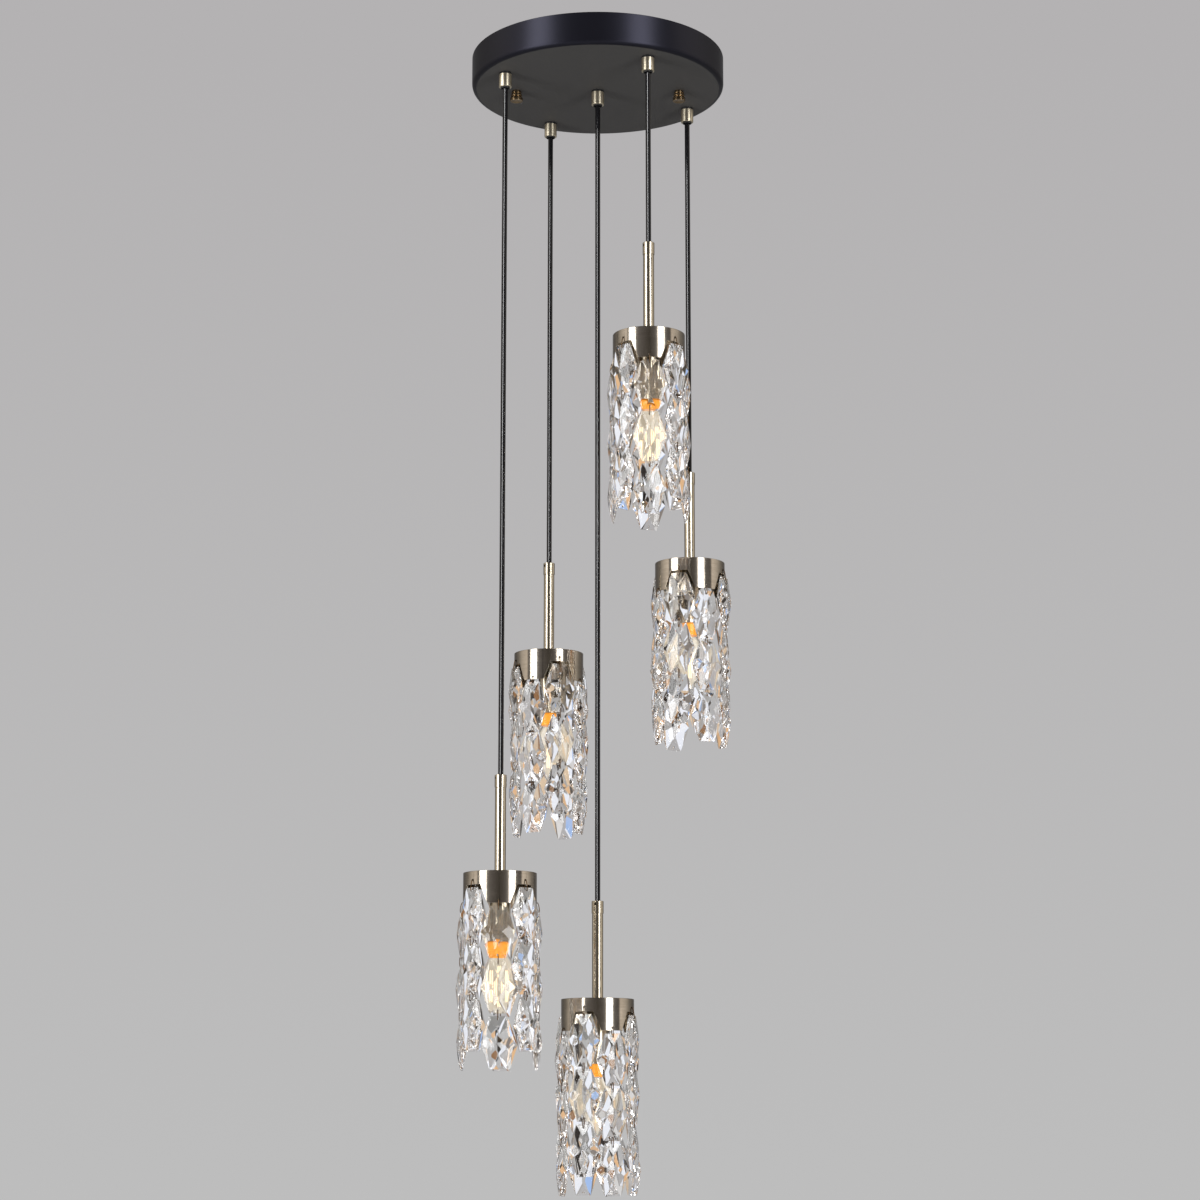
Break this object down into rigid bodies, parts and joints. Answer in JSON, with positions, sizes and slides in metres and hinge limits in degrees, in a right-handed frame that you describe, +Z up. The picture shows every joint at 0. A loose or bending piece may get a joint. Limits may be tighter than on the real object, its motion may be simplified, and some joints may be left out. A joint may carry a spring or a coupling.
{
  "type": "cluster pendant light",
  "caption": "Cluster pendant light: a round ceiling pan from which lamps in cages of faceted crystal hang on black cords at stepped heights.",
  "frame": {"origin": "centre of the pan's top rim, in the plane of the ceiling", "axes": "+Z up into the ceiling, -Y towards the viewer of the picture, +X to that viewer's right"},
  "size_m": [0.3112, 0.3112, 1.3301],
  "materials": {
    "black_enamel": "satin black enamel on spun steel",
    "zinc_steel": "zinc plated",
    "antique_brass": "brushed and darkened, lacquered",
    "dark_bronze": "darkened wire",
    "terminal_plastic": "moulded",
    "black_cord": "smooth sheath",
    "amber_base": "amber ring under a plated screw shell",
    "bulb_glass": "clear blown glass",
    "crystal_glass": "clear cut crystal"
  },
  "bodies": {
    "ceiling_pan": {"canopy": "black_enamel", "crossbar": "zinc_steel", "mounting_studs": "zinc_steel", "crossbar_fasteners": "zinc_steel", "cord_grips": "antique_brass", "grip_locknuts": "antique_brass", "terminal_block": "terminal_plastic", "cord_tails": "black_cord"},
    "knob_left": {"canopy_knob_left": "antique_brass"},
    "knob_right": {"canopy_knob_right": "antique_brass"},
    "cord_bend_1": {"cord_flex_1": "black_cord"},
    "cord_1": {"cord_1": "black_cord"},
    "lamp_1": {"stem_cap_1": "antique_brass", "stem_1": "antique_brass", "collar_1": "antique_brass", "socket_1": "antique_brass", "crystals_1": "crystal_glass", "crystal_pins_1": "dark_bronze"},
    "bulb_1": {"bulb_base_1": "amber_base", "bulb_glass_1": "bulb_glass"},
    "cord_bend_2": {"cord_flex_2": "black_cord"},
    "cord_2": {"cord_2": "black_cord"},
    "lamp_2": {"stem_cap_2": "antique_brass", "stem_2": "antique_brass", "collar_2": "antique_brass", "socket_2": "antique_brass", "crystals_2": "crystal_glass", "crystal_pins_2": "dark_bronze"},
    "bulb_2": {"bulb_base_2": "amber_base", "bulb_glass_2": "bulb_glass"},
    "cord_bend_3": {"cord_flex_3": "black_cord"},
    "cord_3": {"cord_3": "black_cord"},
    "lamp_3": {"stem_cap_3": "antique_brass", "stem_3": "antique_brass", "collar_3": "antique_brass", "socket_3": "antique_brass", "crystals_3": "crystal_glass", "crystal_pins_3": "dark_bronze"},
    "bulb_3": {"bulb_base_3": "amber_base", "bulb_glass_3": "bulb_glass"},
    "cord_bend_4": {"cord_flex_4": "black_cord"},
    "cord_4": {"cord_4": "black_cord"},
    "lamp_4": {"stem_cap_4": "antique_brass", "stem_4": "antique_brass", "collar_4": "antique_brass", "socket_4": "antique_brass", "crystals_4": "crystal_glass", "crystal_pins_4": "dark_bronze"},
    "bulb_4": {"bulb_base_4": "amber_base", "bulb_glass_4": "bulb_glass"},
    "cord_bend_5": {"cord_flex_5": "black_cord"},
    "cord_5": {"cord_5": "black_cord"},
    "lamp_5": {"stem_cap_5": "antique_brass", "stem_5": "antique_brass", "collar_5": "antique_brass", "socket_5": "antique_brass", "crystals_5": "crystal_glass", "crystal_pins_5": "dark_bronze"},
    "bulb_5": {"bulb_base_5": "amber_base", "bulb_glass_5": "bulb_glass"}
  },
  "joints": [
    {"name": "knob_left_turn", "type": "hinge", "parent": "ceiling_pan", "child": "knob_left", "pos_m": [-0.097, 0, -0.044], "axis": [0, 0, 1], "continuous": true},
    {"name": "knob_right_turn", "type": "hinge", "parent": "ceiling_pan", "child": "knob_right", "pos_m": [0.097, 0, -0.044], "axis": [0, 0, 1], "continuous": true},
    {"name": "lamp_1_swing_to_and_fro", "type": "hinge", "parent": "ceiling_pan", "child": "cord_bend_1", "pos_m": [0.05812, -0.1084, -0.054], "axis": [1, 0, 0], "range_deg": [-6, 6]},
    {"name": "lamp_1_swing_sideways", "type": "hinge", "parent": "cord_bend_1", "child": "cord_1", "pos_m": [0.05812, -0.1084, -0.054], "axis": [0, 1, 0], "range_deg": [-6, 6]},
    {"name": "lamp_1_twist", "type": "hinge", "parent": "cord_1", "child": "lamp_1", "pos_m": [0.05812, -0.1084, -0.278], "axis": [0, 0, 1], "range_deg": [-90, 90]},
    {"name": "bulb_1_out", "type": "slide", "parent": "lamp_1", "child": "bulb_1", "axis": [0, 0, -1], "range_m": [0, 0.03]},
    {"name": "lamp_2_swing_to_and_fro", "type": "hinge", "parent": "ceiling_pan", "child": "cord_bend_2", "pos_m": [0.1084, 0.05812, -0.054], "axis": [1, 0, 0], "range_deg": [-4.5, 4.5]},
    {"name": "lamp_2_swing_sideways", "type": "hinge", "parent": "cord_bend_2", "child": "cord_2", "pos_m": [0.1084, 0.05812, -0.054], "axis": [0, 1, 0], "range_deg": [-4.5, 4.5]},
    {"name": "lamp_2_twist", "type": "hinge", "parent": "cord_2", "child": "lamp_2", "pos_m": [0.1084, 0.05812, -0.508], "axis": [0, 0, 1], "range_deg": [-90, 90]},
    {"name": "bulb_2_out", "type": "slide", "parent": "lamp_2", "child": "bulb_2", "axis": [0, 0, -1], "range_m": [0, 0.03]},
    {"name": "lamp_3_swing_to_and_fro", "type": "hinge", "parent": "ceiling_pan", "child": "cord_bend_3", "pos_m": [-0.05812, 0.1084, -0.054], "axis": [1, 0, 0], "range_deg": [-4, 4]},
    {"name": "lamp_3_swing_sideways", "type": "hinge", "parent": "cord_bend_3", "child": "cord_3", "pos_m": [-0.05812, 0.1084, -0.054], "axis": [0, 1, 0], "range_deg": [-4, 4]},
    {"name": "lamp_3_twist", "type": "hinge", "parent": "cord_3", "child": "lamp_3", "pos_m": [-0.05812, 0.1084, -0.607], "axis": [0, 0, 1], "range_deg": [-90, 90]},
    {"name": "bulb_3_out", "type": "slide", "parent": "lamp_3", "child": "bulb_3", "axis": [0, 0, -1], "range_m": [0, 0.03]},
    {"name": "lamp_4_swing_to_and_fro", "type": "hinge", "parent": "ceiling_pan", "child": "cord_bend_4", "pos_m": [-0.1084, -0.05812, -0.054], "axis": [1, 0, 0], "range_deg": [-4, 4]},
    {"name": "lamp_4_swing_sideways", "type": "hinge", "parent": "cord_bend_4", "child": "cord_4", "pos_m": [-0.1084, -0.05812, -0.054], "axis": [0, 1, 0], "range_deg": [-1, 4]},
    {"name": "lamp_4_twist", "type": "hinge", "parent": "cord_4", "child": "lamp_4", "pos_m": [-0.1084, -0.05812, -0.883], "axis": [0, 0, 1], "range_deg": [-90, 90]},
    {"name": "bulb_4_out", "type": "slide", "parent": "lamp_4", "child": "bulb_4", "axis": [0, 0, -1], "range_m": [0, 0.03]},
    {"name": "lamp_5_swing_to_and_fro", "type": "hinge", "parent": "ceiling_pan", "child": "cord_bend_5", "pos_m": [0, 0, -0.054], "axis": [1, 0, 0], "range_deg": [-3.5, 3.5]},
    {"name": "lamp_5_swing_sideways", "type": "hinge", "parent": "cord_bend_5", "child": "cord_5", "pos_m": [0, 0, -0.054], "axis": [0, 1, 0], "range_deg": [-3.5, 1]},
    {"name": "lamp_5_twist", "type": "hinge", "parent": "cord_5", "child": "lamp_5", "pos_m": [0, 0, -1.019], "axis": [0, 0, 1], "range_deg": [-90, 90]},
    {"name": "bulb_5_out", "type": "slide", "parent": "lamp_5", "child": "bulb_5", "axis": [0, 0, -1], "range_m": [0, 0.03]}
  ]
}
